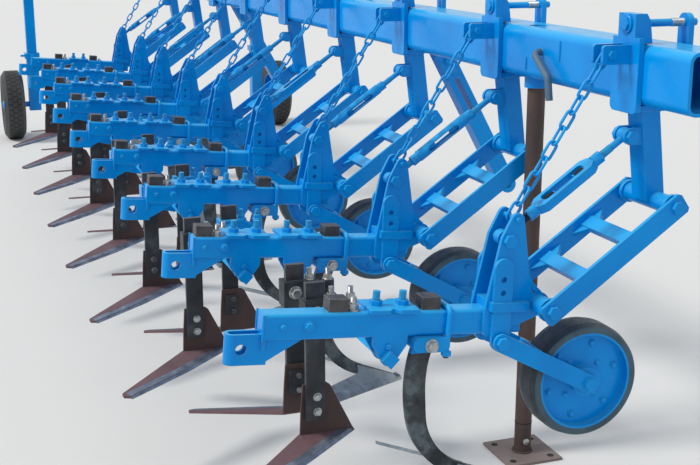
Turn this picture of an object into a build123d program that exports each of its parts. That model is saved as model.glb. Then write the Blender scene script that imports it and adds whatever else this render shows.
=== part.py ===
from build123d import *
import math
import os

# Row crop cultivator with nine hoe sections on a square toolbar, standing in its long transport
# set-up: one end of the toolbar on a pipe stand, the other on a two-wheel transport carriage.
# Millimetres, +Z up, +Y the direction of field travel, +X along the toolbar towards the stand.
# Section profiles are drawn as (y, z) points, and the ground is z = 0.

# Toolbar
BAR_SIZE = 140.0
BAR_WALL = 8.0
BAR_CORNER = 24.0
BAR_BOTTOM = 1137.0
BAR_TOP = BAR_BOTTOM + BAR_SIZE
BAR_MID = BAR_BOTTOM + BAR_SIZE / 2
BAR_FACE = BAR_SIZE / 2

# Sections: pitch of the rows, and how many
ROW_PITCH = 700.0
SECTIONS = 9
BAR_OVERHANG = 230.0
BAR_LENGTH = (SECTIONS - 1) * ROW_PITCH + 2 * BAR_OVERHANG

# Parallelogram that carries a section: the lower front pivot, the link and the upper pivots' offset
PIVOT_Y = 10.0
PIVOT_DROP = 232.0
LINK_LENGTH = 385.0
LINK_SLOPE = 35.0
UPPER_BACK = 80.0
UPPER_RISE = 158.0
PIVOT_TUBE_R = 22.5
PIVOT_TUBE_HALF = 96.0
PIVOT_RING_R = 28.0
PIVOT_RING_LONG = 12.0
PIN_R = 10.0
PIN_FIT = 0.05
LIFT_RANGE = 45.0

FRONT_LOWER = (PIVOT_Y, BAR_BOTTOM - PIVOT_DROP)
FRONT_UPPER = (FRONT_LOWER[0] - UPPER_BACK, FRONT_LOWER[1] + UPPER_RISE)
LINK_BACK = LINK_LENGTH * math.cos(math.radians(LINK_SLOPE))
LINK_FALL = LINK_LENGTH * math.sin(math.radians(LINK_SLOPE))
REAR_LOWER = (FRONT_LOWER[0] - LINK_BACK, FRONT_LOWER[1] - LINK_FALL)
REAR_UPPER = (FRONT_UPPER[0] - LINK_BACK, FRONT_UPPER[1] - LINK_FALL)

# Lower link: two flat side bars outside the pivot tubes, two cross bars
SIDE_BAR_GAP = 5.0
SIDE_BAR_T = 10.0
SIDE_BAR_WIDE = 52.0
SIDE_BAR_END = 25.0
CROSS_BAR_T = 18.0
CROSS_BAR_H = 36.0
CROSS_BAR_PLACES = (0.34, 0.70)
GUSSET = 32.0
GUSSET_T = 9.0
NUT_R = 16.0
NUT_T = 10.0
LINK_REACH = PIVOT_TUBE_HALF + SIDE_BAR_GAP + SIDE_BAR_T + NUT_T

# Turnbuckle
EYE_R = 18.0
EYE_HALF = 13.0
ROD_R = 8.5
BODY_LENGTH = 176.0
BODY_R = 17.0
BODY_WALL = 5.0
NOSE_R = 15.0
NOSE_LONG = 16.0
FRAME_WIDTH = 56.0
FRAME_BAR = 13.0
FRAME_TAPER = 17.0
FRAME_THICK = 22.0
ROD_INSIDE = 34.0
JAM_NUT_R = 15.0
JAM_NUT_T = 10.0

# Front bracket
PLATE_T = 14.0
CLAMP_HALF = 55.0
CLAMP_FOOT = 18.0
LOBE_HALF = 35.0
LOBE_DEPTH = 40.0
LOBE_LOW = 16.0
CLAMP_ABOVE = 70.0
CLAMP_BOLT_R = 9.0
CLAMP_BOLT_RISE = 46.0
CLAMP_BOLT_LENGTH = 196.0
JAW_HALF = 22.0
POST_WIDTH = 60.0
POST_DEPTH = 50.0
POST_TOP_Y = -25.0
LUG_T = 10.0
LUG_INNER = 16.0
LUG_R = 20.0

# Chain
CHAIN_BOLT_R = 6.0
CHAIN_TOP = (-BAR_FACE - 65.0, BAR_TOP - 22.0)
CHAIN_LUG_INNER = 16.0
CHAIN_LUG_HIGH = 44.0
CHAIN_LUG_END = 24.0
CHAIN_HOOK_RISE = 48.0
CHAIN_HOOK_BACK = -20.0
LINK_WIRE = 8.0
LINK_WIDTH = 29.0
CHAIN_LINKS = 11
CHAIN_PLAY = 0.3

# Rear bracket and gang beam
BEAM_HIGH = 60.0
BEAM_WIDE = 56.0
BEAM_WALL = 6.0
BEAM_CORNER = 8.0
BEAM_TILT = 4.9
BEAM_LENGTH = 624.0
BEAM_START_BACK = 40.0
BEAM_START_DROP = 41.0
BRACKET_T = 10.0
EAR_R = 21.0
EAR_FOOT_R = 16.0
SADDLE_T = 22.0
SADDLE_HALF = 54.0
CARRIER_WIDE = 47.0
CARRIER_T = 10.0
CARRIER_TOP = 176.0

# Loop at the rear end of the beam
LOOP_R = 19.0
LOOP_T = 8.0
LOOP_LONG = 74.0
LOOP_HIGH = 70.0
LOOP_DROP = 21.0
LOOP_BORE_R = 13.0
LOOP_WEB = 100.0

# Clamps and heads along the beam, by their distance behind the lower rear pivot
CLAMP_PLATE_T = 9.0
CLAMP_PLATE_LONG = 118.0
CLAMP_PLATE_OVER = 18.0
CLAMP_NUT_STEP = 64.0
CLAMP_BOLT_SIZE = 8.0
HEAD_LONG = 46.0
HEAD_WIDE = 40.0
HEAD_RISE = 30.0
FRONT_HEAD_BACK = 269.0
REAR_HEAD_BACK_END = 492.0
REAR_HEAD_BACK_INNER = 635.0

# Copy wheel and its fork
WHEEL_R = 143.0
WHEEL_HALF = 44.0
WHEEL_FORE = 137.0
WHEEL_DROP = 212.0
TYRE_DEPTH = 21.0
TYRE_CROWN = 6.0
DRUM_T = 5.0
DRUM_LIP = 3.0
DISC_T = 6.0
DISC_PLACE = 16.0
HUB_R = 36.0
HUB_HALF = 46.0
AXLE_R = 10.0
FORK_INNER = 52.0
FORK_T = 8.0
FORK_R = 22.0
FORK_BACK = 101.0
FORK_DROP = 80.0
BRIDGE_GAP = 12.0

# Tools: level of the blades, cross bars, razor hoes and sweep
BLADE_LEVEL = 295.0
BLADE_T = 7.0
CROSS_SIDE = 30.0
CROSS_DROP = 50.0
CROSS_REACH = 44.0
BAR_PLAY = 0.4
CROSS_BACK_FRONT = 365.0
CROSS_BACK_REAR = 517.0
MOON_R = 52.0
MOON_T = 8.0
HOLDER_HIGH = 68.0
HOLDER_LIFT = 28.0
HOLDER_T = 22.0
HOLDER_COVER = 14.0
HOE_SIDE = 272.0
HOE_BEHIND = 88.0
CHEEK_T = 7.0
CHEEK_HIGH = 132.0
CHEEK_TOP = 64.0
CHEEK_FRONT = 105.0
CHEEK_REAR = 38.0
SHANK_T = 14.0
SHANK_W = 50.0
SHANK_HEAD = 44.0
CLIP_HIGH = 66.0
CLIP_WIDE = 44.0
CLIP_T = 6.0
HOE_REACH = 204.0
HOE_TIP_WIDE = 20.0
HOE_SWEPT = 215.0
HOE_BELLY = 15.0
HOE_DROOP = 12.0
SWEEP_BACK = 272.0
SWEEP_T = 16.0
SWEEP_LEAN = 18.0
SWEEP_KNEE = 450.0
SWEEP_BEND = 187.0
SWEEP_TURN = 70.0
SWEEP_END_W = 30.0
SWEEP_NOSE = 128.0
SWEEP_NOSE_DROP = 44.0
SWEEP_HALF = 200.0
SWEEP_LONG = 269.0
SWEEP_RISE = 43.0
SWEEP_WING = 46.0
SWEEP_SPINE = 150.0
WING_TILT = 22.0
CASTING_BACK = 268.0
CASTING_LONG = 90.0
CASTING_HIGH = 34.0
CASTING_HALF = 44.0
U_BOLT_R = 6.5
U_BOLT_HALF = 37.0
U_BOLT_BACK = 228.0
U_BOLT_PLATE = 8.0
U_BOLT_BEND = 15.0

# Stand
STAND_CLEAR = 6.0
STAND_Y = -10.0
STAND_R = 25.0
STAND_X = (SECTIONS - 3) / 2 * ROW_PITCH + LINK_REACH + STAND_CLEAR + STAND_R
STAND_WALL = 5.0
STAND_FIT = 1.0
FOOT_SIZE = 176.0
FOOT_T = 8.0
STAND_RANGE = 330.0

# Transport carriage at the far end
CARRIAGE_REACH = 960.0
CARRIAGE_X = -BAR_LENGTH / 2 - CARRIAGE_REACH
CARRIAGE_R = 255.0
CARRIAGE_TYRE_W = 150.0
CARRIAGE_WHEEL_Y = 1030.0
CARRIAGE_POST_Y = 870.0
CARRIAGE_POST = 85.0
CARRIAGE_TUBE = 70.0
CARRIAGE_COLLAR_Z = 620.0
RIM_R = 150.0
RIM_W = 110.0

# Support wheel brackets
WHEEL_ARM_X = 1415.0
ARM_END = (335.0, 640.0)
ARM_WIDE = 60.0

# Bent rod handle on the rear of the toolbar, as its middle line's points (x, y, z)
HANDLE_R = 9.5
HANDLE_POINTS = [
    (STAND_X + 130, -BAR_FACE + 4, BAR_BOTTOM + 82),
    (STAND_X + 130, -BAR_FACE - 26, BAR_BOTTOM + 82),
    (STAND_X + 214, -BAR_FACE - 26, BAR_BOTTOM + 22),
    (STAND_X + 226, -BAR_FACE - 26, BAR_BOTTOM - 34),
]

section_x = [ROW_PITCH * ((SECTIONS - 1) / 2 - k) for k in range(SECTIONS)]


def in_profile(x0, x1, outline):
    """A plate standing in the plane of travel: the (y, z) outline extruded from x0 to x1."""
    low, high = min(x0, x1), max(x0, x1)
    return extrude(Plane.YZ.offset(low) * outline, amount=high - low)


def polygon(points):
    return make_face(Polyline(*points, close=True))


def stadium(a, b, r):
    """Bar with round ends about the points a and b."""
    length = math.dist(a, b)
    angle = math.degrees(math.atan2(b[1] - a[1], b[0] - a[0]))
    middle = Pos((a[0] + b[0]) / 2, (a[1] + b[1]) / 2)
    return middle * Rot(0, 0, angle) * SlotCenterToCenter(length, 2 * r)


def pin(point, r, x0, x1):
    """Round bar along X through the (y, z) point."""
    low, high = min(x0, x1), max(x0, x1)
    return Pos((low + high) / 2, point[0], point[1]) * Rot(0, 90, 0) * Cylinder(r, high - low)


def hex_nut(point, r, x0, x1):
    low, high = min(x0, x1), max(x0, x1)
    return in_profile(low, high, Pos(*point) * RegularPolygon(r, 6))


def between(a, b, share):
    return (a[0] + (b[0] - a[0]) * share, a[1] + (b[1] - a[1]) * share)


def rod(points, r, bend):
    """Round bar along the runs between the points, bent to the radius at each corner."""
    path = FilletPolyline(*points, radius=bend)
    return sweep((path ^ 0) * Circle(r), path=path)


def toolbar():
    outer = RectangleRounded(BAR_SIZE, BAR_SIZE, BAR_CORNER)
    inner_size = BAR_SIZE - 2 * BAR_WALL
    inner = RectangleRounded(inner_size, inner_size, BAR_CORNER - BAR_WALL)
    tube = Pos(0, 0, BAR_MID) * extrude(Plane.YZ * (outer - inner), amount=BAR_LENGTH / 2, both=True)
    sleeve_r = STAND_R + STAND_FIT
    hole = Pos(STAND_X, STAND_Y, BAR_MID) * Cylinder(sleeve_r, 2 * BAR_SIZE)
    collar = Pos(STAND_X, STAND_Y, BAR_BOTTOM - 15) * (Cylinder(sleeve_r + 8, 30) - Cylinder(sleeve_r, 30))
    return tube - hole + collar + rod(HANDLE_POINTS, HANDLE_R, 20)


def front_bracket():
    """Clamp round the toolbar, hanging post with the lower pivot tube and the upper link's lugs."""
    base_low = BAR_BOTTOM - PLATE_T
    back = -BAR_FACE - PLATE_T
    front = BAR_FACE + PLATE_T
    bolt_z = BAR_TOP + CLAMP_BOLT_RISE
    lobe_top = BAR_TOP + CLAMP_ABOVE
    tall = lobe_top - (BAR_BOTTOM - CLAMP_FOOT)
    outline = Pos(0, BAR_BOTTOM - CLAMP_FOOT + tall / 2) * RectangleRounded(2 * CLAMP_HALF, tall, 16)
    shoulder = BAR_TOP + LOBE_LOW
    for side in (-1, 1):
        outline -= Pos(side * (LOBE_HALF + 30), shoulder + 100) * Rectangle(60, 200)
    rear_plate = Pos(0, back, 0) * extrude(Plane.XZ * outline, amount=-PLATE_T)
    lobe = in_profile(-LOBE_HALF, LOBE_HALF, polygon([
        (back, BAR_TOP + 2),
        (back + LOBE_DEPTH + 8, BAR_TOP + 2),
        (back + LOBE_DEPTH, lobe_top - 16),
        (back + LOBE_DEPTH - 10, lobe_top),
        (back, lobe_top),
    ]))
    jaw = Pos(0, (base_low + bolt_z) / 2) * SlotOverall(bolt_z - base_low + 2 * JAW_HALF, 2 * JAW_HALF, rotation=90)
    jaw &= Pos(0, base_low + 500) * Rectangle(200, 1000)
    front_jaw = Pos(0, BAR_FACE, 0) * extrude(Plane.XZ * jaw, amount=-PLATE_T)
    base = Pos(0, 0, base_low + PLATE_T / 2) * Box(2 * JAW_HALF + 40, front - back, PLATE_T)
    bolt_y = back - NUT_T + CLAMP_BOLT_LENGTH / 2
    bolt = Pos(0, bolt_y, bolt_z) * Rot(90, 0, 0) * Cylinder(CLAMP_BOLT_R, CLAMP_BOLT_LENGTH)
    head = Pos(0, back - NUT_T, bolt_z) * extrude(Plane.XZ * RegularPolygon(NUT_R, 6), amount=-NUT_T)
    post_outline = polygon([
        (POST_TOP_Y - POST_DEPTH / 2, base_low),
        (POST_TOP_Y + POST_DEPTH / 2, base_low),
        (FRONT_LOWER[0] - 7 + POST_DEPTH / 2, FRONT_LOWER[1]),
        (FRONT_LOWER[0] - 7 - POST_DEPTH / 2, FRONT_LOWER[1]),
    ])
    post = in_profile(-POST_WIDTH / 2, POST_WIDTH / 2, post_outline)
    tube = pin(FRONT_LOWER, PIVOT_TUBE_R, -PIVOT_TUBE_HALF, PIVOT_TUBE_HALF)
    body = rear_plate + lobe + front_jaw + base + bolt + head + post + tube
    for side in (-1, 1):
        ring_in = side * (PIVOT_TUBE_HALF - PIVOT_RING_LONG)
        body += pin(FRONT_LOWER, PIVOT_RING_R, ring_in, side * PIVOT_TUBE_HALF)
        lug = stadium(FRONT_UPPER, (POST_TOP_Y, FRONT_UPPER[1]), LUG_R)
        body += in_profile(side * LUG_INNER, side * (LUG_INNER + LUG_T), lug)
        body += hex_nut(FRONT_UPPER, NUT_R, side * (LUG_INNER + LUG_T), side * (LUG_INNER + LUG_T + NUT_T))
        lug_end = CHAIN_TOP[0] - CHAIN_LUG_END
        cheek = Pos((lug_end + back) / 2, CHAIN_TOP[1]) * RectangleRounded(back - lug_end, CHAIN_LUG_HIGH, 8)
        cheek += Pos((CHAIN_TOP[0] + back) / 2, CHAIN_TOP[1]) * Rectangle(back - CHAIN_TOP[0], CHAIN_LUG_HIGH)
        body += in_profile(side * CHAIN_LUG_INNER, side * (CHAIN_LUG_INNER + LUG_T), cheek)
        bolt_in = side * (CHAIN_LUG_INNER + LUG_T)
        body += hex_nut(CHAIN_TOP, 11, bolt_in, bolt_in + side * 7)
    body += pin(FRONT_UPPER, PIN_R, -LUG_INNER - LUG_T, LUG_INNER + LUG_T)
    body += pin(CHAIN_TOP, CHAIN_BOLT_R, -CHAIN_LUG_INNER - LUG_T, CHAIN_LUG_INNER + LUG_T)
    return body - pin(FRONT_LOWER, PIN_R + PIN_FIT, -PIVOT_TUBE_HALF, PIVOT_TUBE_HALF)


def lower_link():
    inner = PIVOT_TUBE_HALF + SIDE_BAR_GAP
    outer = inner + SIDE_BAR_T
    bars = []
    middle = between(FRONT_LOWER, REAR_LOWER, 0.5)
    flat = Rectangle(LINK_LENGTH + 2 * SIDE_BAR_END, SIDE_BAR_WIDE)
    flat = Pos(*middle) * Rot(0, 0, LINK_SLOPE) * chamfer(flat.vertices(), 7)
    for side in (-1, 1):
        bars.append(in_profile(side * inner, side * outer, flat))
        for pivot in (FRONT_LOWER, REAR_LOWER):
            bars.append(hex_nut(pivot, NUT_R, side * outer, side * (outer + NUT_T)))
    for share in CROSS_BAR_PLACES:
        centre = between(FRONT_LOWER, REAR_LOWER, share)
        cross = Pos(*centre) * Rot(0, 0, LINK_SLOPE) * Rectangle(CROSS_BAR_H, CROSS_BAR_T)
        bars.append(in_profile(-inner, inner, cross))
        # gusset in the link's plane, from the cross bar to the far side bar
        corner = make_face(Polyline((-inner, 0), (-inner + GUSSET, 0), (-inner, GUSSET), close=True))
        gusset = extrude(corner, amount=GUSSET_T / 2, both=True)
        for way in (1, -1):
            step = Pos(0, way * CROSS_BAR_H / 2, 0)
            turned = gusset if way == 1 else mirror(gusset, Plane.XZ)
            bars.append(Pos(0, *centre) * Rot(LINK_SLOPE, 0, 0) * step * turned)
    for pivot in (FRONT_LOWER, REAR_LOWER):
        bars.append(pin(pivot, PIN_R, -outer, outer))
    return bars[0].fuse(*bars[1:])


def upper_link(framed):
    """Turnbuckle between the two upper pins, with an open frame or a slotted tube as its body."""
    length = math.dist(FRONT_UPPER, REAR_UPPER)
    middle = between(FRONT_UPPER, REAR_UPPER, 0.5)
    half = BODY_LENGTH / 2
    if framed:
        wide = FRAME_WIDTH / 2
        outline = polygon([
            (-NOSE_R, -half), (NOSE_R, -half), (wide, -half + FRAME_TAPER), (wide, half - FRAME_TAPER),
            (NOSE_R, half), (-NOSE_R, half), (-wide, half - FRAME_TAPER), (-wide, -half + FRAME_TAPER),
        ])
        window = RectangleRounded(FRAME_WIDTH - 2 * FRAME_BAR, BODY_LENGTH - 4 * FRAME_BAR, 10)
        link = extrude(Plane.XZ * (outline - window), amount=FRAME_THICK / 2, both=True)
    else:
        hollow = BODY_LENGTH - 4 * FRAME_BAR
        slot = SlotOverall(hollow - 14, BODY_R, rotation=90)
        link = Cylinder(BODY_R, BODY_LENGTH) - Cylinder(BODY_R - BODY_WALL, hollow)
        link -= extrude(Plane.YZ * slot, amount=2 * BODY_R, both=True)
    for end in (-1, 1):
        rod_out = length / 2 - EYE_R + 4
        rod_in = half - ROD_INSIDE - 2 * FRAME_BAR
        link += Pos(0, 0, end * (rod_out + rod_in) / 2) * Cylinder(ROD_R, rod_out - rod_in)
        link += Pos(0, 0, end * (half + NOSE_LONG / 2)) * Cylinder(NOSE_R, NOSE_LONG)
        link += Pos(0, 0, end * (half + NOSE_LONG + JAM_NUT_T / 2)) * extrude(
            RegularPolygon(JAM_NUT_R, 6), amount=JAM_NUT_T / 2, both=True)
        link += Pos(0, 0, end * length / 2) * Rot(0, 90, 0) * Cylinder(EYE_R, 2 * EYE_HALF)
    for end in (-1, 1):
        link -= Pos(0, 0, end * length / 2) * Rot(0, 90, 0) * Cylinder(PIN_R + PIN_FIT, 2 * EYE_HALF + 2)
    # the link's own length runs up to the front pin
    return Pos(0, *middle) * Rot(-(90 - LINK_SLOPE), 0, 0) * link


def chain_points():
    low = (REAR_UPPER[0] - CHAIN_HOOK_BACK, REAR_UPPER[1] + CHAIN_HOOK_RISE)
    return CHAIN_TOP, low


def chain():
    """Taut link chain from the bolt behind the toolbar to the bolt over the rear bracket."""
    top, low = chain_points()
    span = math.dist(top, low)
    # a link's inner length, from the bolts' centres and the slack left at each meeting
    inner = (span + 2 * CHAIN_BOLT_R + (CHAIN_LINKS + 1) * CHAIN_PLAY) / CHAIN_LINKS
    step = inner - CHAIN_PLAY
    outer = inner + 2 * LINK_WIRE
    chamfer_size = LINK_WIRE
    ring = chamfer(Rectangle(outer, LINK_WIDTH).vertices(), chamfer_size)
    ring = ring - Rectangle(inner, LINK_WIDTH - 2 * LINK_WIRE)
    flat = extrude(ring, amount=LINK_WIRE / 2, both=True)
    links = []
    slope = math.degrees(math.atan2(low[1] - top[1], low[0] - top[0]))
    direction = ((low[0] - top[0]) / span, (low[1] - top[1]) / span)
    start = inner / 2 - CHAIN_BOLT_R - CHAIN_PLAY
    for k in range(CHAIN_LINKS):
        along = start + k * step
        y = top[0] + direction[0] * along
        z = top[1] + direction[1] * along
        turn = 90 if k % 2 == 0 else 0
        # along X, then turned about its own length, then laid down the slope in the plane of travel
        links.append(Pos(0, y, z) * Rot(slope, 0, 0) * Rot(0, 0, 90) * Rot(turn, 0, 0) * flat)
    return links


def beam_place():
    """Front end of the gang beam's centre line, and its direction rearward and up."""
    start = (REAR_LOWER[0] - BEAM_START_BACK, REAR_LOWER[1] - BEAM_START_DROP)
    tilt = math.radians(BEAM_TILT)
    return start, (-math.cos(tilt), math.sin(tilt))


def beam_centre(back):
    """Point of the beam's centre line that lies this far behind the lower rear pivot."""
    start, way = beam_place()
    run = back - BEAM_START_BACK
    return (start[0] - run, start[1] - run * way[1] / way[0])


def beam_point(back, rise):
    """Point square above the beam's centre line; a negative rise lies below it."""
    centre = beam_centre(back)
    tilt = math.radians(BEAM_TILT)
    return (centre[0] + rise * math.sin(tilt), centre[1] + rise * math.cos(tilt))


def beam_box(back, rise, long, high):
    """Rectangle of the section profile, set square to the beam about a beam point."""
    return Pos(*beam_point(back, rise)) * Rot(0, 0, -BEAM_TILT) * Rectangle(long, high)


def across_beam(back, rise, x):
    """Place of a piece that stands square to the beam."""
    return Pos(x, *beam_point(back, rise)) * Rot(-BEAM_TILT, 0, 0)


def wheel_centre():
    return (REAR_LOWER[0] + WHEEL_FORE, REAR_LOWER[1] - WHEEL_DROP)


def fork_pivot():
    return (REAR_LOWER[0] - FORK_BACK, REAR_LOWER[1] - FORK_DROP)


def rear_bracket():
    """Ears for the turnbuckle and chain, saddle on the beam, flange, and the wheel fork's carriers."""
    _, hook = chain_points()
    pivot = fork_pivot()
    side_in = BEAM_WIDE / 2
    side_out = side_in + BRACKET_T
    foot_rear = beam_point(BEAM_START_BACK + 85, BEAM_HIGH / 2)
    foot_front = beam_point(BEAM_START_BACK - 4, BEAM_HIGH / 2 + 14)
    ear = make_hull([
        *(Pos(*hook) * Circle(EAR_FOOT_R)).edges(),
        *(Pos(*REAR_UPPER) * Circle(EAR_R)).edges(),
        *(Pos(*foot_rear) * Circle(EAR_FOOT_R)).edges(),
        *(Pos(*foot_front) * Circle(EAR_FOOT_R)).edges(),
    ])
    low = make_hull([
        *(Pos(*REAR_LOWER) * Circle(PIVOT_RING_R)).edges(),
        *(Pos(*foot_rear) * Circle(EAR_FOOT_R)).edges(),
        *(Pos(*beam_point(BEAM_START_BACK + 85, -BEAM_HIGH / 2 + 12)) * Circle(EAR_FOOT_R)).edges(),
    ])
    carrier_top = (pivot[0] + 6, pivot[1] + CARRIER_TOP)
    carrier = stadium(carrier_top, pivot, CARRIER_WIDE / 2)
    for share in (0.15, 0.33, 0.51):
        carrier -= Pos(*between(carrier_top, pivot, share)) * Circle(7)
    saddle = beam_box(BEAM_START_BACK + 44, BEAM_HIGH / 2 + SADDLE_T / 2, 96, SADDLE_T)
    flange_top = (REAR_UPPER[0] + 40, REAR_UPPER[1] - 50)
    flange_low = (REAR_LOWER[0] + 4, REAR_LOWER[1] + 26)
    belly = (REAR_LOWER[0] - 24, REAR_LOWER[1] + 58)
    flange = trace(ThreePointArc(flange_top, belly, flange_low), BRACKET_T)
    pieces = [in_profile(-SADDLE_HALF, SADDLE_HALF, saddle), in_profile(-side_out, side_out, flange)]
    for side in (-1, 1):
        pieces.append(in_profile(side * side_in, side * side_out, ear + low))
        carrier_out = side * (side_out + CARRIER_T)
        pieces.append(in_profile(side * side_out, carrier_out, carrier))
        pieces.append(hex_nut(REAR_UPPER, NUT_R, side * side_out, side * (side_out + NUT_T)))
        pieces.append(pin(pivot, FORK_R - 6, carrier_out, side * FORK_INNER))
        ring_in = side * (PIVOT_TUBE_HALF - PIVOT_RING_LONG)
        pieces.append(pin(REAR_LOWER, PIVOT_RING_R, ring_in, side * PIVOT_TUBE_HALF))
    pieces.append(pin(REAR_LOWER, PIVOT_TUBE_R, -PIVOT_TUBE_HALF, PIVOT_TUBE_HALF))
    pieces.append(pin(REAR_UPPER, PIN_R, -side_out, side_out))
    pieces.append(pin(hook, CHAIN_BOLT_R, -side_out - 8, side_out + 8))
    return pieces


def wheel_fork():
    """Two flat arms from the carriers to the axle, joined by a bridge behind the tyre."""
    pivot = fork_pivot()
    axle = wheel_centre()
    outer = FORK_INNER + FORK_T
    pieces = [pin(axle, AXLE_R, -FORK_INNER, FORK_INNER)]
    for side in (-1, 1):
        pieces.append(in_profile(side * FORK_INNER, side * outer, stadium(pivot, axle, FORK_R)))
        for point in (pivot, axle):
            pieces.append(hex_nut(point, NUT_R, side * outer, side * (outer + NUT_T)))
    reach = math.dist(pivot, axle)
    slope = math.degrees(math.atan2(pivot[1] - axle[1], pivot[0] - axle[0]))
    centre = between(axle, pivot, (WHEEL_R + BRIDGE_GAP + FORK_T / 2) / reach)
    bridge = Pos(*centre) * Rot(0, 0, slope) * Rectangle(FORK_T, 2 * FORK_R)
    pieces.append(in_profile(-outer, outer, bridge))
    return pieces


def beam_clamps(cross_back):
    """Top plate with its bolts, half-moon plates under the beam and the diamond-set tool bar."""
    top = BEAM_HIGH / 2
    over = BEAM_WIDE / 2 + CLAMP_PLATE_OVER
    half = CLAMP_PLATE_LONG / 2
    step = 14.0
    plan = make_face(Polyline(
        (-over, -half), (over, -half), (over, -step), (over - step, 0), (over, step), (over, half),
        (-over, half), (-over, step), (-over + step, 0), (-over, -step), close=True))
    pieces = [across_beam(cross_back, top, 0) * extrude(plan, amount=CLAMP_PLATE_T)]
    for way in (-1, 1):
        place = across_beam(cross_back + way * CLAMP_NUT_STEP / 2, top + CLAMP_PLATE_T, 0)
        pieces.append(place * extrude(RegularPolygon(15, 6), amount=12))
        pieces.append(place * Pos(0, 0, 12) * Cylinder(CLAMP_BOLT_SIZE, 24))
    bar = beam_point(cross_back, -top - CROSS_DROP)
    moon = make_hull([
        *beam_box(cross_back, -top + 3, 2 * MOON_R - 20, 6).edges(),
        *beam_box(cross_back, -top - 16, 2 * MOON_R - 20, 4).edges(),
        *(Pos(*bar) * Circle(CROSS_SIDE * 0.62)).edges(),
    ])
    for side in (-1, 1):
        inner = side * BEAM_WIDE / 2
        pieces.append(in_profile(inner - side * MOON_T, inner, moon))
    diamond = Pos(*bar) * Rot(0, 0, 45) * Rectangle(CROSS_SIDE, CROSS_SIDE)
    return pieces, diamond


def beam_loop():
    """Flat strip bent into a loop behind the beam's end, with a bore through it for a pin."""
    back = BEAM_START_BACK + BEAM_LENGTH
    rise = -BEAM_HIGH / 2 - LOOP_DROP
    outer = SlotOverall(LOOP_LONG + 60, 2 * LOOP_R, rotation=90)
    inner = SlotOverall(LOOP_LONG + 60 - 2 * LOOP_T, 2 * (LOOP_R - LOOP_T), rotation=90)
    strip = extrude(outer - inner, amount=LOOP_HIGH / 2, both=True)
    strip &= Pos(0, -60, 0) * Box(100, 120 + 2 * 25, 200)
    loop = across_beam(back + 12, rise, 0) * strip
    bore_back = back + LOOP_LONG - 30
    bore = pin(beam_point(bore_back, rise), LOOP_BORE_R, -50, 50)
    web = polygon([
        beam_point(back - LOOP_WEB, -BEAM_HIGH / 2 + 4), beam_point(back + 16, -BEAM_HIGH / 2 + 4),
        beam_point(back + 16, rise - LOOP_HIGH / 2), beam_point(back, rise - LOOP_HIGH / 2),
    ])
    pieces = [loop - bore]
    for side in (-1, 1):
        pieces.append(in_profile(side * (LOOP_R - LOOP_T), side * LOOP_R, web))
    end = beam_box(back - 3, -12, 6, BEAM_HIGH + 20)
    pieces.append(in_profile(-LOOP_R - 8, LOOP_R + 8, end))
    return pieces


def hoe_places(number):
    """The hoes of a section: which side, and how far back the bar that carries it lies."""
    if number == 1:
        return ((-1, CROSS_BACK_FRONT),)
    if number == SECTIONS:
        return ((1, CROSS_BACK_FRONT),)
    return ((1, CROSS_BACK_FRONT), (-1, CROSS_BACK_REAR))


def gang_frame(hoes):
    start, way = beam_place()
    end = (start[0] + way[0] * BEAM_LENGTH, start[1] + way[1] * BEAM_LENGTH)
    middle = between(start, end, 0.5)
    outer = RectangleRounded(BEAM_WIDE, BEAM_HIGH, BEAM_CORNER)
    inner = RectangleRounded(BEAM_WIDE - 2 * BEAM_WALL, BEAM_HIGH - 2 * BEAM_WALL, BEAM_CORNER - BEAM_WALL)
    tube = extrude(Plane.XZ * (outer - inner), amount=BEAM_LENGTH / 2, both=True)
    beam = Pos(0, *middle) * Rot(-BEAM_TILT, 0, 0) * tube
    pieces = [beam, *rear_bracket(), *wheel_fork(), *beam_loop()]
    for side, cross_back in hoes:
        clamps, diamond = beam_clamps(cross_back)
        pieces += clamps
        pieces.append(in_profile(-side * CROSS_REACH, side * (HOE_SIDE + HOLDER_T), diamond))
    rear_head = REAR_HEAD_BACK_INNER if len(hoes) == 2 else REAR_HEAD_BACK_END
    for back in (FRONT_HEAD_BACK, rear_head):
        head = beam_box(back, BEAM_HIGH / 2 + HEAD_RISE / 2, HEAD_LONG, HEAD_RISE)
        pieces.append(in_profile(-HEAD_WIDE / 2, HEAD_WIDE / 2, head))
    frame = pieces[0].fuse(*pieces[1:])
    return frame - pin(REAR_LOWER, PIN_R + PIN_FIT, -PIVOT_TUBE_HALF, PIVOT_TUBE_HALF)


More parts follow.
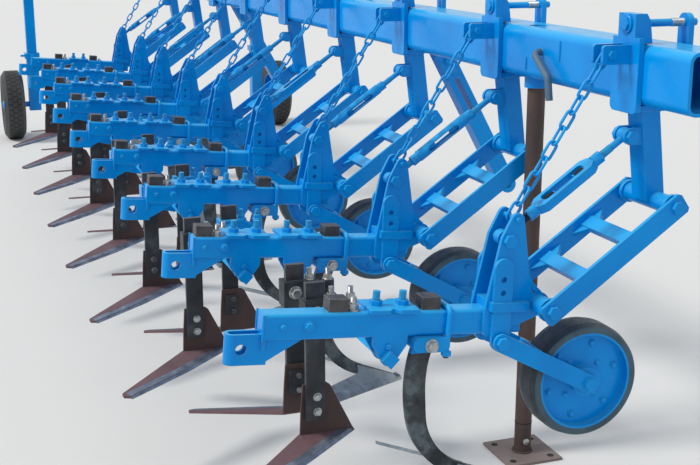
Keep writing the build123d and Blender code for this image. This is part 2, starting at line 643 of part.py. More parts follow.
def sweep_tool():
    """Casting under the beam held by a U-bolt, curved flat shank and winged sweep."""
    top = BEAM_HIGH / 2
    casting = beam_box(CASTING_BACK, -top - BAR_PLAY - CASTING_HIGH / 2, CASTING_LONG, CASTING_HIGH)
    pieces = [in_profile(-CASTING_HALF, CASTING_HALF, chamfer(casting.vertices(), 10))]
    leg = top + CASTING_HIGH + U_BOLT_PLATE + 8
    crown = top + BAR_PLAY + U_BOLT_R
    bent = rod([(-U_BOLT_HALF, 0, -leg), (-U_BOLT_HALF, 0, crown), (U_BOLT_HALF, 0, crown),
                (U_BOLT_HALF, 0, -leg)], U_BOLT_R, U_BOLT_BEND)
    pieces.append(across_beam(U_BOLT_BACK, 0, 0) * bent)
    for side in (-1, 1):
        nut = extrude(RegularPolygon(12, 6), amount=-11)
        pieces.append(across_beam(U_BOLT_BACK, -top - BAR_PLAY - CASTING_HIGH, side * U_BOLT_HALF) * nut)
    # the shank leans back to its knee, then bends forward on a circle to the sweep's spine
    shank_top = beam_point(SWEEP_BACK, -top - CASTING_HIGH + 6)
    knee = (shank_top[0] - SWEEP_LEAN, SWEEP_KNEE)
    middles = [shank_top, (knee[0] - 1, (knee[1] + shank_top[1]) / 2 - 10)]
    widths = [SHANK_W, SHANK_W]
    for share in (0, 0.25, 0.5, 0.75, 1):
        turn = math.radians(SWEEP_TURN * share)
        middles.append((knee[0] + SWEEP_BEND * (1 - math.cos(turn)), knee[1] - SWEEP_BEND * math.sin(turn)))
        widths.append(SHANK_W + (SWEEP_END_W - SHANK_W) * share)
    pieces.append(in_profile(-SWEEP_T / 2, SWEEP_T / 2, tapered_band(middles, widths)))
    foot = middles[-1]
    pieces += sweep_wings((0, foot[0] + SWEEP_NOSE, foot[1] - SWEEP_NOSE_DROP))
    return pieces[0].fuse(*pieces[1:])


def tapered_band(middles, widths):
    """Face along the middle points, as wide at each as given."""
    sides = ([], [])
    for i, (y, z) in enumerate(middles):
        before = middles[max(i - 1, 0)]
        after = middles[min(i + 1, len(middles) - 1)]
        run = math.dist(before, after)
        across = ((before[1] - after[1]) / run, (after[0] - before[0]) / run)
        for side, way in zip(sides, (-0.5, 0.5)):
            side.append((y + way * widths[i] * across[0], z + way * widths[i] * across[1]))
    low, high = sides
    return make_face([Spline(*low), Line(low[-1], high[-1]), Spline(*high), Line(high[0], low[0])])


def sweep_wings(nose):
    """Two wings from the nose back along their cutting edges, each rising inwards to the spine."""
    edge = Vector(SWEEP_HALF, -SWEEP_LONG, SWEEP_RISE)
    ground = Vector(0, SWEEP_RISE, SWEEP_LONG).normalized()
    inward = edge.normalized().cross(ground)
    tilt = math.radians(WING_TILT)
    surface = inward * math.cos(tilt) + ground * math.sin(tilt)
    # along the spine the two wings meet, so a step along the edge gives the step across it
    share = -edge.normalized().X / surface.X
    along = SWEEP_SPINE / math.hypot(1, share)
    lap = 4.0
    outline = polygon([
        (0, -0.5), (edge.length, 0), (edge.length - 8, SWEEP_WING), (along + 40, SWEEP_WING + 14),
        (along, along * share + lap), (0, lap),
    ])
    wing = Plane(origin=nose, x_dir=edge, z_dir=edge.cross(surface)) * extrude(outline, amount=-BLADE_T)
    wing &= Pos(250, 0, 0) * Box(500, 4000, 4000)
    return [wing, mirror(wing, Plane.YZ)]


def razor_hoe(side, cross_back):
    """Holder on the diamond bar, flat shank, cheek with its clip, and the long swept blade."""
    bar = beam_point(cross_back, -BEAM_HIGH / 2 - CROSS_DROP)
    shank_y = REAR_LOWER[0] - cross_back - HOE_BEHIND
    x_out = side * HOE_SIDE
    x_in = side * (HOE_SIDE - SHANK_T)
    holder_in = side * (HOE_SIDE - SHANK_T - HOLDER_T)
    holder_z = bar[1] + HOLDER_LIFT
    holder = make_hull([
        *(Pos(*bar) * Circle(HOLDER_HIGH / 2)).edges(),
        *(Pos(shank_y, holder_z) * Rectangle(SHANK_W + 16, HOLDER_HIGH)).edges(),
    ])
    opening = Pos(*bar) * Rot(0, 0, 45) * Rectangle(CROSS_SIDE + 2 * BAR_PLAY, CROSS_SIDE + 2 * BAR_PLAY)
    body = in_profile(holder_in, side * (HOE_SIDE + HOLDER_COVER), holder - opening)
    shank_top = holder_z + HOLDER_HIGH / 2 + SHANK_HEAD
    shank = Pos(shank_y, BLADE_LEVEL + 40) * Rectangle(
        SHANK_W, shank_top - BLADE_LEVEL - 40, align=(Align.CENTER, Align.MIN))
    body += in_profile(x_in, x_out, shank - opening)
    cheek = polygon([
        (shank_y - CHEEK_REAR, BLADE_LEVEL - 3),
        (shank_y + CHEEK_FRONT, BLADE_LEVEL - 3),
        (shank_y + CHEEK_FRONT - CHEEK_TOP + 2, BLADE_LEVEL + CHEEK_HIGH - 8),
        (shank_y + CHEEK_FRONT - CHEEK_TOP - 8, BLADE_LEVEL + CHEEK_HIGH),
        (shank_y - CHEEK_REAR + 8, BLADE_LEVEL + CHEEK_HIGH),
        (shank_y - CHEEK_REAR + 3, BLADE_LEVEL + CHEEK_HIGH * 0.5),
    ])
    x_cheek = side * (HOE_SIDE + CHEEK_T)
    body += in_profile(x_out, x_cheek, cheek)
    clip = Pos(shank_y, BLADE_LEVEL + 82) * RectangleRounded(CLIP_WIDE, CLIP_HIGH, 5)
    clip_x = side * (HOE_SIDE + CHEEK_T + CLIP_T)
    body += in_profile(x_cheek, clip_x, clip)
    for rise in (62, 102):
        body += hex_nut((shank_y + 4, BLADE_LEVEL + rise), 8, clip_x, clip_x + side * 6)
    # the blade lies inwards from the cheek's foot, its inner end swept back and drooping
    reach = HOE_REACH / math.cos(math.radians(HOE_DROOP))
    rear = shank_y - CHEEK_REAR
    front = shank_y + CHEEK_FRONT
    tip_front = rear - HOE_SWEPT + HOE_TIP_WIDE
    blade = polygon([
        (-side * reach / 2, (front + tip_front) / 2 + HOE_BELLY),
        (0, front),
        (0, rear),
        (-side * (reach - HOE_TIP_WIDE), rear - HOE_SWEPT),
        (-side * (reach - 5), rear - HOE_SWEPT + 2),
        (-side * reach, tip_front),
    ])
    place = Pos(x_cheek, 0, BLADE_LEVEL - BLADE_T) * Rot(0, -side * HOE_DROOP, 0)
    return body + place * extrude(blade, amount=BLADE_T)


def copy_wheel():
    centre = wheel_centre()
    drum_r = WHEEL_R - TYRE_DEPTH
    tread = WHEEL_R - TYRE_CROWN
    lip = WHEEL_HALF - DRUM_LIP
    outline = polygon([
        (drum_r, -lip), (tread - 3, -WHEEL_HALF), (tread + 1, -WHEEL_HALF + 3), (WHEEL_R, -WHEEL_HALF / 2),
        (WHEEL_R, WHEEL_HALF / 2), (tread + 1, WHEEL_HALF - 3), (tread - 3, WHEEL_HALF), (drum_r, lip),
    ])
    wheel = revolve(Plane.XZ * outline, Axis.Z)
    wheel += Cylinder(drum_r, 2 * lip) - Cylinder(drum_r - DRUM_T, 2 * lip)
    wheel += Pos(0, 0, DISC_PLACE) * Cylinder(drum_r, DISC_T)
    wheel += Cylinder(HUB_R, 2 * HUB_HALF)
    wheel -= Cylinder(AXLE_R + PIN_FIT, 4 * WHEEL_HALF)
    return Pos(0, *centre) * Rot(0, 90, 0) * wheel


def stand_leg():
    top = BAR_TOP - 10
    pipe = Cylinder(STAND_R, top - FOOT_T) - Cylinder(STAND_R - STAND_WALL, top - FOOT_T)
    pipe = Pos(0, 0, (top + FOOT_T) / 2) * pipe
    foot = Pos(0, 0, FOOT_T / 2) * Box(FOOT_SIZE, FOOT_SIZE, FOOT_T)
    return Pos(STAND_X, STAND_Y, 0) * (pipe + foot)


def wheel_arm():
    start = (BAR_FACE, BAR_BOTTOM - PLATE_T)
    arm = stadium(start, ARM_END, ARM_WIDE / 2) & polygon([
        (0, 0), (800, 0), (800, BAR_BOTTOM - PLATE_T), (0, BAR_BOTTOM - PLATE_T)])
    slot = stadium(between(start, ARM_END, 0.2), between(start, ARM_END, 0.45), 9)
    eye = Pos(*ARM_END) * Circle(13)
    return in_profile(-ARM_WIDE / 2, ARM_WIDE / 2, arm - slot - eye)


def carriage_frame():
    """Drawbeam from the toolbar's far end, cross beam and telescopic posts down to the axle stubs."""
    bar_end = -BAR_LENGTH / 2
    reach = bar_end - CARRIAGE_X
    beam_z = BAR_MID
    drawbeam = Pos(bar_end - reach / 2, 0, beam_z) * Box(reach, BAR_SIZE - 20, BAR_SIZE - 20)
    flange = Pos(bar_end - PLATE_T / 2, 0, beam_z) * Box(PLATE_T, BAR_SIZE + 60, BAR_SIZE + 60)
    cross = Pos(CARRIAGE_X, 0, beam_z) * Box(BAR_SIZE - 20, 2 * CARRIAGE_POST_Y + CARRIAGE_POST, BAR_SIZE - 20)
    pieces = [drawbeam, flange, cross]
    axle_z = CARRIAGE_R
    for side in (-1, 1):
        post_low = axle_z - 45
        post_y = side * CARRIAGE_POST_Y
        low = Box(CARRIAGE_POST, CARRIAGE_POST, CARRIAGE_COLLAR_Z - post_low)
        pieces.append(Pos(CARRIAGE_X, post_y, (CARRIAGE_COLLAR_Z + post_low) / 2) * low)
        high = Box(CARRIAGE_TUBE, CARRIAGE_TUBE, beam_z - CARRIAGE_COLLAR_Z)
        pieces.append(Pos(CARRIAGE_X, post_y, (CARRIAGE_COLLAR_Z + beam_z) / 2) * high)
        collar = Box(CARRIAGE_POST + 20, CARRIAGE_POST + 20, 40)
        pieces.append(Pos(CARRIAGE_X, post_y, CARRIAGE_COLLAR_Z) * collar)
        stub_in = CARRIAGE_POST_Y
        stub_out = CARRIAGE_WHEEL_Y + CARRIAGE_TYRE_W / 2
        stub = Rot(90, 0, 0) * Cylinder(20, stub_out - stub_in)
        pieces.append(Pos(CARRIAGE_X, side * (stub_in + stub_out) / 2, axle_z) * stub)
    return pieces[0].fuse(*pieces[1:])


def carriage_rim(side):
    barrel = Cylinder(RIM_R, RIM_W) - Cylinder(RIM_R - 6, RIM_W)
    disc = Cylinder(RIM_R, 8) + Cylinder(45, 100)
    rim = barrel + disc - Cylinder(20 + PIN_FIT, 2 * RIM_W)
    return Pos(CARRIAGE_X, side * CARRIAGE_WHEEL_Y, CARRIAGE_R) * Rot(90, 0, 0) * rim


def carriage_tyre(side):
    half = CARRIAGE_TYRE_W / 2
    shoulder = 35.0
    outline = polygon([
        (RIM_R, -RIM_W / 2), (CARRIAGE_R - shoulder, -half), (CARRIAGE_R, -half + shoulder * 0.7),
        (CARRIAGE_R, half - shoulder * 0.7), (CARRIAGE_R - shoulder, half), (RIM_R, RIM_W / 2),
    ])
    tyre = revolve(Plane.XZ * outline, Axis.Z)
    return Pos(CARRIAGE_X, side * CARRIAGE_WHEEL_Y, CARRIAGE_R) * Rot(90, 0, 0) * tyre


def build():
    nodes = {"toolbar": [toolbar()]}
    bracket = front_bracket()
    nodes["front_brackets"] = [Pos(x, 0, 0) * bracket for x in section_x]
    links = chain()
    nodes["chains"] = [Pos(x, 0, 0) * link for x in section_x for link in links]
    nodes["stand_leg"] = [stand_leg()]
    arm = wheel_arm()
    nodes["wheel_arms"] = [Pos(side * WHEEL_ARM_X, 0, 0) * arm for side in (-1, 1)]
    nodes["carriage_frame"] = [carriage_frame()]
    for name, side in (("near", 1), ("far", -1)):
        nodes[f"carriage_rim_{name}"] = [carriage_rim(side)]
        nodes[f"carriage_tyre_{name}"] = [carriage_tyre(side)]
    lower = lower_link()
    turnbuckles = {framed: upper_link(framed) for framed in (True, False)}
    wheel = copy_wheel()
    sweep_shape = sweep_tool()
    gangs = {}
    tools = {}
    for number in (1, 2, SECTIONS):
        hoes = hoe_places(number)
        gangs[hoes] = gang_frame(hoes)
        tools[hoes] = [sweep_shape, *(razor_hoe(side, cross_back) for side, cross_back in hoes)]
    for k, x in enumerate(section_x):
        number = k + 1
        hoes = hoe_places(number)
        nodes[f"lower_link_{number}"] = [Pos(x, 0, 0) * lower]
        nodes[f"upper_link_{number}"] = [Pos(x, 0, 0) * turnbuckles[k % 3 == 0]]
        nodes[f"gang_{number}"] = [Pos(x, 0, 0) * gangs[hoes]]
        nodes[f"tools_{number}"] = [Pos(x, 0, 0) * tool for tool in tools[hoes]]
        nodes[f"copy_wheel_{number}"] = [Pos(x, 0, 0) * wheel]
    return nodes


nodes = build()
everything = Compound(children=[solid for pieces in nodes.values() for piece in pieces for solid in piece.solids()])
box = everything.bounding_box()
# the origin is on the ground under the middle of the machine's box
origin = Vector((box.min.X + box.max.X) / 2, (box.min.Y + box.max.Y) / 2, box.min.Z)
os.makedirs("parts", exist_ok=True)
for name, pieces in nodes.items():
    solids = [solid.moved(Location(-origin)) for piece in pieces for solid in piece.solids()]
    whole = solids[0] if len(solids) == 1 else Compound(children=solids)
    export_step(whole, f"parts/{name}.step")
print("origin", origin, "size", box.size)
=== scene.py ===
import math
import bmesh
import bpy
from mathutils import Matrix, Vector


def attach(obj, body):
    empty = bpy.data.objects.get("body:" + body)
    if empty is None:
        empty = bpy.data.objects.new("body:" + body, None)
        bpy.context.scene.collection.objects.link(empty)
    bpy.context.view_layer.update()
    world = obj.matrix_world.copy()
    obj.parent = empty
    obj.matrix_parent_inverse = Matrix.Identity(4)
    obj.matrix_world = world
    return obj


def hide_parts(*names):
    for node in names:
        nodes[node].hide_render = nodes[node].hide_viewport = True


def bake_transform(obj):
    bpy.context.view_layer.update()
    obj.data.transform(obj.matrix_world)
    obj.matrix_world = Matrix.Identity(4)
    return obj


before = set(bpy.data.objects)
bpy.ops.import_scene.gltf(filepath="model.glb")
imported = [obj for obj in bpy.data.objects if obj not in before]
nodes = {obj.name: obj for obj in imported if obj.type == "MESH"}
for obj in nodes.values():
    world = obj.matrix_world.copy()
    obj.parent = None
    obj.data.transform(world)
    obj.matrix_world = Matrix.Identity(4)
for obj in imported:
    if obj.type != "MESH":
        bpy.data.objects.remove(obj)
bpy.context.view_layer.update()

# Sizes in metres, as the solids have them. A machine point is given from the toolbar's middle at
# ground level; shift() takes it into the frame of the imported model.
ORIGIN = (-0.6075, -0.0291868)
PITCH = 0.7
SECTIONS = 9
BAR_HALF = 0.07
BAR_LOW = 1.137
BAR_TOP = 1.277
PLATE_T = 0.014
FRONT_LOWER = (0.010, 0.905)
LINK_BACK = 0.385 * math.cos(math.radians(35))
LINK_FALL = 0.385 * math.sin(math.radians(35))
REAR_LOWER = (FRONT_LOWER[0] - LINK_BACK, FRONT_LOWER[1] - LINK_FALL)
FRONT_UPPER = (-0.070, 1.063)
REAR_UPPER = (FRONT_UPPER[0] - LINK_BACK, FRONT_UPPER[1] - LINK_FALL)
CHAIN_TOP = (-0.135, 1.255)
CHAIN_LINKS = 11
CHAIN_LOW = (REAR_UPPER[0] + 0.020, REAR_UPPER[1] + 0.048)
WHEEL = (REAR_LOWER[0] + 0.137, REAR_LOWER[1] - 0.212)
WHEEL_R = 0.143
TILT = math.radians(4.9)
BEAM_START = (REAR_LOWER[0] - 0.040, REAR_LOWER[1] - 0.041)
BEAM_END = 0.664
BEAM_HALF_WIDE = 0.028
BEAM_HALF_HIGH = 0.030
HEAD_FRONT = 0.269
HEAD_REAR_END = 0.492
HEAD_REAR_INNER = 0.635
BAR_FRONT = 0.365
BAR_REAR = 0.517
BAR_DROP = 0.080
SHANK_INSIDE = 0.258
HOLDER_INSIDE = 0.236
HOLDER_OUTSIDE = 0.286
HOLDER_BOLTS = 0.262
CHEEK_X = 0.279
HOE_BEHIND = 0.088
BLADE_LOW = 0.288
BLADE_T = 0.007
HOE_DROOP = math.radians(12)
SWEEP_BACK = 0.272
SWEEP_KNEE = 0.450
SWEEP_BEND = 0.187
SWEEP_TURN = math.radians(70)
STAND_X = 2.252
STAND_Y = -0.010
STAND_R = 0.025
BAR_TAIL = -3.030
CARRIAGE_X = -3.990
CARRIAGE_R = 0.255
CARRIAGE_WHEEL_Y = 1.030
POST_Y = 0.870
COLLAR_Z = 0.620
COLLAR_HALF = 0.0525
SUPPORT_ARM_X = 1.415

section_x = [PITCH * ((SECTIONS - 1) / 2 - k) for k in range(SECTIONS)]
collection = bpy.context.scene.collection


def shift(x, y, z):
    return Vector((x - ORIGIN[0], y - ORIGIN[1], z))


def hoes(number):
    """(side, bar) of each hoe that a section carries, as the solids have it."""
    if number == 1:
        return ((-1, BAR_FRONT),)
    if number == SECTIONS:
        return ((1, BAR_FRONT),)
    return ((1, BAR_FRONT), (-1, BAR_REAR))


def rear_head(number):
    """How far behind the pivot the section's rear square head stands."""
    return HEAD_REAR_INNER if len(hoes(number)) == 2 else HEAD_REAR_END


def beam_point(back, rise):
    """(y, z) of a point square above the beam's centre line, back behind the lower rear pivot."""
    run = back - 0.040
    centre = (BEAM_START[0] - run, BEAM_START[1] + run * math.tan(TILT))
    return (centre[0] + rise * math.sin(TILT), centre[1] + rise * math.cos(TILT))


# Materials

def new_material(name, color, roughness, metallic=0.0):
    mat = bpy.data.materials.new(name)
    mat.use_nodes = True
    shader = mat.node_tree.nodes["Principled BSDF"]
    shader.inputs["Base Color"].default_value = (*color, 1)
    shader.inputs["Roughness"].default_value = roughness
    shader.inputs["Metallic"].default_value = metallic
    return mat, mat.node_tree, shader


def coords(tree):
    return tree.nodes.new("ShaderNodeTexCoord").outputs["Object"]


def noise(tree, vector, scale, detail=4.0, rough=0.55):
    node = tree.nodes.new("ShaderNodeTexNoise")
    node.inputs["Scale"].default_value = scale
    node.inputs["Detail"].default_value = detail
    node.inputs["Roughness"].default_value = rough
    tree.links.new(vector, node.inputs["Vector"])
    return node.outputs["Fac"]


def ramp(tree, value, stops):
    """stops: (position, color) pairs, dark to light."""
    node = tree.nodes.new("ShaderNodeValToRGB")
    elements = node.color_ramp.elements
    for i, (place, color) in enumerate(stops):
        element = elements[i] if i < 2 else elements.new(place)
        element.position = place
        element.color = (*color, 1)
    tree.links.new(value, node.inputs["Fac"])
    return node.outputs["Color"]


def gray(value):
    return (value, value, value)


def mix(tree, factor, a, b, mode="MIX"):
    node = tree.nodes.new("ShaderNodeMix")
    node.data_type = "RGBA"
    node.blend_type = mode
    for source, socket in ((factor, node.inputs["Factor"]), (a, node.inputs[6]), (b, node.inputs[7])):
        if isinstance(source, (int, float)):
            socket.default_value = source
        elif isinstance(source, tuple):
            socket.default_value = (*source, 1)
        else:
            tree.links.new(source, socket)
    return node.outputs[2]


def maths(tree, operation, a, b=0.0):
    node = tree.nodes.new("ShaderNodeMath")
    node.operation = operation
    for source, socket in ((a, node.inputs[0]), (b, node.inputs[1])):
        if isinstance(source, (int, float)):
            socket.default_value = source
        else:
            tree.links.new(source, socket)
    return node.outputs[0]


def soft_edges(tree, radius):
    """Normals that round the edges off, and how strongly a point lies on such an edge."""
    bevel = tree.nodes.new("ShaderNodeBevel")
    bevel.samples = 6
    bevel.inputs["Radius"].default_value = radius
    flat = tree.nodes.new("ShaderNodeNewGeometry")
    dot = tree.nodes.new("ShaderNodeVectorMath")
    dot.operation = "DOT_PRODUCT"
    tree.links.new(bevel.outputs["Normal"], dot.inputs[0])
    tree.links.new(flat.outputs["Normal"], dot.inputs[1])
    edge = maths(tree, "MULTIPLY", maths(tree, "SUBTRACT", 1.0, dot.outputs["Value"]), 4.0)
    return bevel.outputs["Normal"], maths(tree, "MINIMUM", edge, 1.0)


def bump(tree, shader, height, strength, distance, base=None):
    node = tree.nodes.new("ShaderNodeBump")
    node.inputs["Strength"].default_value = strength
    node.inputs["Distance"].default_value = distance
    tree.links.new(height, node.inputs["Height"])
    if base is not None:
        tree.links.new(base, node.inputs["Normal"])
    tree.links.new(node.outputs["Normal"], shader.inputs["Normal"])


def blue_paint():
    mat, tree, shader = new_material("blue_paint", (0.0, 0.26, 0.62), 0.3)
    place = coords(tree)
    wide = noise(tree, place, 3.2, 3.0)
    base = ramp(tree, wide, [(0.3, (0.0, 0.205, 0.61)), (0.7, (0.0, 0.295, 0.77))])
    # painted sky reflection lightens faces that look up
    normal = tree.nodes.new("ShaderNodeNewGeometry")
    split = tree.nodes.new("ShaderNodeSeparateXYZ")
    tree.links.new(normal.outputs["Normal"], split.inputs["Vector"])
    up = maths(tree, "MULTIPLY", maths(tree, "MAXIMUM", split.outputs["Z"], 0.0), 0.30)
    # painted reflection: cyan mixed in on faces that look up
    paler_tone = mix(tree, up, base, (0.09, 0.60, 0.70))
    soft, edge = soft_edges(tree, 0.003)
    # painted highlight along the rounded edges, over the painted sky reflection
    painted_highlights = mix(tree, maths(tree, "MULTIPLY", edge, 0.35), paler_tone, (0.07, 0.56, 0.78))
    # chips down to grey primer along worn spots
    fine = noise(tree, place, 95.0, 6.0, 0.7)
    spots = noise(tree, place, 11.0, 2.0)

    def over(value, level):
        return maths(tree, "GREATER_THAN", value, level)

    chips = maths(tree, "MULTIPLY", over(fine, 0.655), over(spots, 0.59))
    worn = maths(tree, "MULTIPLY", over(fine, 0.60), over(edge, 0.5))
    bare = maths(tree, "MAXIMUM", chips, maths(tree, "MULTIPLY", worn, over(spots, 0.52)))
    tree.links.new(mix(tree, bare, painted_highlights, (0.07, 0.13, 0.19)), shader.inputs["Base Color"])
    rough = ramp(tree, noise(tree, place, 24.0), [(0.3, gray(0.18)), (0.75, gray(0.34))])
    tree.links.new(rough, shader.inputs["Roughness"])
    shader.inputs["Specular IOR Level"].default_value = 0.13
    shader.inputs["Coat Weight"].default_value = 0.11
    shader.inputs["Coat Roughness"].default_value = 0.08
    bump(tree, shader, noise(tree, place, 130.0, 2.0), 0.16, 0.0008, soft)
    return mat


def dark_steel(name, scale, stops):
    mat, tree, shader = new_material(name, (0.03, 0.031, 0.036), 0.5)
    place = coords(tree)
    wide = noise(tree, place, scale, 5.0, 0.6)
    base = ramp(tree, wide, stops)
    tree.links.new(base, shader.inputs["Base Color"])
    rough = ramp(tree, noise(tree, place, 40.0), [(0.3, gray(0.34)), (0.7, gray(0.6))])
    tree.links.new(rough, shader.inputs["Roughness"])
    shader.inputs["Metallic"].default_value = 0.35
    bump(tree, shader, noise(tree, place, 120.0, 5.0, 0.6), 0.25, 0.001)
    return mat


def head_steel():
    """Dark oiled steel with lighter grey patches round its edges."""
    mat, tree, shader = new_material("head_steel", (0.03, 0.03, 0.035), 0.4)
    place = coords(tree)
    wide = noise(tree, place, 22.0, 5.0, 0.6)
    base = ramp(tree, wide, [(0.35, (0.030, 0.031, 0.036)), (0.7, (0.085, 0.082, 0.085))])
    soft, edge = soft_edges(tree, 0.0025)
    patches = ramp(tree, noise(tree, place, 70.0), [(0.35, gray(0.15)), (0.6, gray(0.9))])
    rim = maths(tree, "MULTIPLY", edge, patches)
    tree.links.new(mix(tree, rim, base, (0.42, 0.44, 0.46)), shader.inputs["Base Color"])
    shader.inputs["Roughness"].default_value = 0.46
    shader.inputs["Metallic"].default_value = 0.25
    bump(tree, shader, noise(tree, place, 150.0, 4.0), 0.2, 0.0008, soft)
    return mat


def rust_steel(name, dark, light, bright, rough_low=0.55):
    mat, tree, shader = new_material(name, light, 0.7)
    place = coords(tree)
    wide = noise(tree, place, 7.0, 8.0, 0.65)
    base = ramp(tree, wide, [(0.3, dark), (0.52, light), (0.75, bright)])
    grain = noise(tree, place, 150.0, 6.0, 0.7)
    speckled = mix(tree, 0.35, base, ramp(tree, grain, [(0.35, dark), (0.7, bright)]))
    tree.links.new(speckled, shader.inputs["Base Color"])
    rough = ramp(tree, grain, [(0.3, gray(rough_low)), (0.7, gray(0.88))])
    tree.links.new(rough, shader.inputs["Roughness"])
    bump(tree, shader, grain, 0.35, 0.001)
    return mat


def worn_nose(tree, place, color):
    """Brighter metal over the sweep's foremost tenth of a metre."""
    split = tree.nodes.new("ShaderNodeSeparateXYZ")
    tree.links.new(place, split.inputs["Vector"])
    ahead = maths(tree, "MULTIPLY", maths(tree, "ADD", split.outputs["Y"], 0.42), 8.0)
    ahead = maths(tree, "MINIMUM", maths(tree, "MAXIMUM", ahead, 0.0), 0.8)
    patches = ramp(tree, noise(tree, place, 34.0, 4.0), [(0.3, gray(0.35)), (0.6, gray(1.0))])
    return mix(tree, maths(tree, "MULTIPLY", ahead, patches), color, (0.42, 0.47, 0.47))


def blade_steel():
    """Blue-grey scoured steel of the sweeps."""
    mat, tree, shader = new_material("blade_steel", (0.2, 0.2, 0.24), 0.4)
    place = coords(tree)
    wide = noise(tree, place, 16.0, 6.0, 0.65)
    scratch = tree.nodes.new("ShaderNodeMapping")
    scratch.inputs["Scale"].default_value = (60.0, 14.0, 60.0)
    tree.links.new(place, scratch.inputs["Vector"])
    lines = noise(tree, scratch.outputs["Vector"], 3.0, 4.0)
    base = ramp(tree, wide, [
        (0.36, (0.12, 0.15, 0.17)), (0.55, (0.21, 0.28, 0.31)), (0.74, (0.19, 0.15, 0.13))])
    scored = mix(tree, 0.3, base, ramp(tree, lines, [(0.3, gray(0.09)), (0.7, (0.36, 0.42, 0.5))]))
    tree.links.new(worn_nose(tree, place, scored), shader.inputs["Base Color"])
    rough = ramp(tree, lines, [(0.3, gray(0.28)), (0.7, gray(0.5))])
    tree.links.new(rough, shader.inputs["Roughness"])
    shader.inputs["Metallic"].default_value = 0.65
    bump(tree, shader, lines, 0.15, 0.0006)
    return mat


def ground_steel():
    """Blue-grey ground bevel with fine lines across it and a few rust freckles."""
    mat, tree, shader = new_material("ground_steel", (0.22, 0.27, 0.34), 0.34)
    place = coords(tree)
    wide = noise(tree, place, 26.0, 5.0, 0.6)
    base = ramp(tree, wide, [
        (0.34, (0.10, 0.125, 0.165)), (0.55, (0.18, 0.23, 0.30)), (0.78, (0.31, 0.37, 0.43))])
    freckles = maths(tree, "GREATER_THAN", noise(tree, place, 140.0, 3.0), 0.64)
    freckled = mix(tree, maths(tree, "MULTIPLY", freckles, 0.5), base, (0.15, 0.08, 0.06))
    tree.links.new(worn_nose(tree, place, freckled), shader.inputs["Base Color"])
    tree.links.new(ramp(tree, wide, [(0.3, gray(0.26)), (0.7, gray(0.44))]), shader.inputs["Roughness"])
    shader.inputs["Metallic"].default_value = 0.55
    return mat


def rubber(name, dark, light, paler_tone):
    mat, tree, shader = new_material(name, light, 0.6)
    place = coords(tree)
    wide = noise(tree, place, 12.0, 5.0)
    # the paler tone gives dusty patches
    base = ramp(tree, wide, [(0.35, dark), (0.62, light), (0.85, paler_tone)])
    tree.links.new(base, shader.inputs["Base Color"])
    rough = ramp(tree, noise(tree, place, 60.0), [(0.3, gray(0.42)), (0.7, gray(0.66))])
    tree.links.new(rough, shader.inputs["Roughness"])
    bump(tree, shader, noise(tree, place, 220.0, 3.0), 0.2, 0.0006)
    return mat


def zinc():
    mat, tree, shader = new_material("zinc", (0.50, 0.51, 0.50), 0.36, 0.85)
    place = coords(tree)
    wide = noise(tree, place, 60.0, 4.0)
    base = ramp(tree, wide, [(0.3, (0.26, 0.27, 0.27)), (0.7, (0.56, 0.57, 0.57))])
    tree.links.new(base, shader.inputs["Base Color"])
    tree.links.new(ramp(tree, wide, [(0.3, gray(0.24)), (0.7, gray(0.42))]), shader.inputs["Roughness"])
    return mat


BLUE = blue_paint()
DARK = dark_steel("dark_steel", 9.0, [
    (0.32, (0.014, 0.016, 0.020)), (0.55, (0.032, 0.038, 0.045)),
    (0.68, (0.066, 0.082, 0.094)), (0.82, (0.065, 0.048, 0.042))])
SHANK = dark_steel("shank_steel", 14.0, [
    (0.38, (0.018, 0.022, 0.027)), (0.50, (0.040, 0.052, 0.060)),
    (0.58, (0.095, 0.125, 0.140)), (0.70, (0.070, 0.050, 0.045))])
HEAD = head_steel()
STAND_RUST = rust_steel("stand_rust", (0.024, 0.017, 0.016), (0.058, 0.037, 0.033), (0.12, 0.066, 0.052))
FOOT_RUST = rust_steel("foot_rust", (0.11, 0.085, 0.08), (0.18, 0.145, 0.135), (0.25, 0.20, 0.185))
CHEEK_RUST = rust_steel(
    "cheek_rust", (0.026, 0.017, 0.017), (0.055, 0.030, 0.029), (0.100, 0.046, 0.038), 0.42)
RED_OXIDE = rust_steel(
    "red_oxide", (0.080, 0.042, 0.048), (0.135, 0.066, 0.075), (0.155, 0.118, 0.135), 0.45)
BLADE = blade_steel()
EDGE = ground_steel()
HANDLE = rust_steel("worn_blue", (0.03, 0.07, 0.12), (0.055, 0.13, 0.21), (0.11, 0.17, 0.22), 0.4)
# near-black: painted shade inside the stand's foot holes, and the dark band at the pipe's joint
HOLE_SHADE_AND_JOINT_BLACK = new_material("hole", (0.012, 0.011, 0.010), 0.9)[0]
RUBBER = rubber("rubber", (0.026, 0.056, 0.076), (0.045, 0.098, 0.132), (0.09, 0.15, 0.18))
WHEEL_TREAD = rubber("wheel_tread", (0.014, 0.025, 0.034), (0.026, 0.043, 0.056), (0.055, 0.072, 0.082))
TREAD = rubber("tread_rubber", (0.020, 0.021, 0.022), (0.036, 0.037, 0.038), (0.060, 0.060, 0.060))
# painted shade: near-black rubber for the grooves between the carriage tyres' tread lugs
GROOVE_SHADE = rubber("groove_shade_rubber", (0.008, 0.008, 0.009), (0.013, 0.013, 0.014), (0.022, 0.022, 0.022))
ZINC = zinc()

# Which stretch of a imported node's mesh gets which material, from the face's middle.


def paint(node, mats, choose):
    """choose(face middle in machine metres, face normal) gives an index into mats."""
    obj = nodes[node]
    mesh = obj.data
    mesh.materials.clear()
    for mat in mats:
        mesh.materials.append(mat)
    for face in mesh.polygons:
        middle = face.center
        face.material_index = choose(middle.x + ORIGIN[0], middle.y + ORIGIN[1], middle.z, face.normal)


def near(value, aim, reach):
    return abs(value - aim) < reach


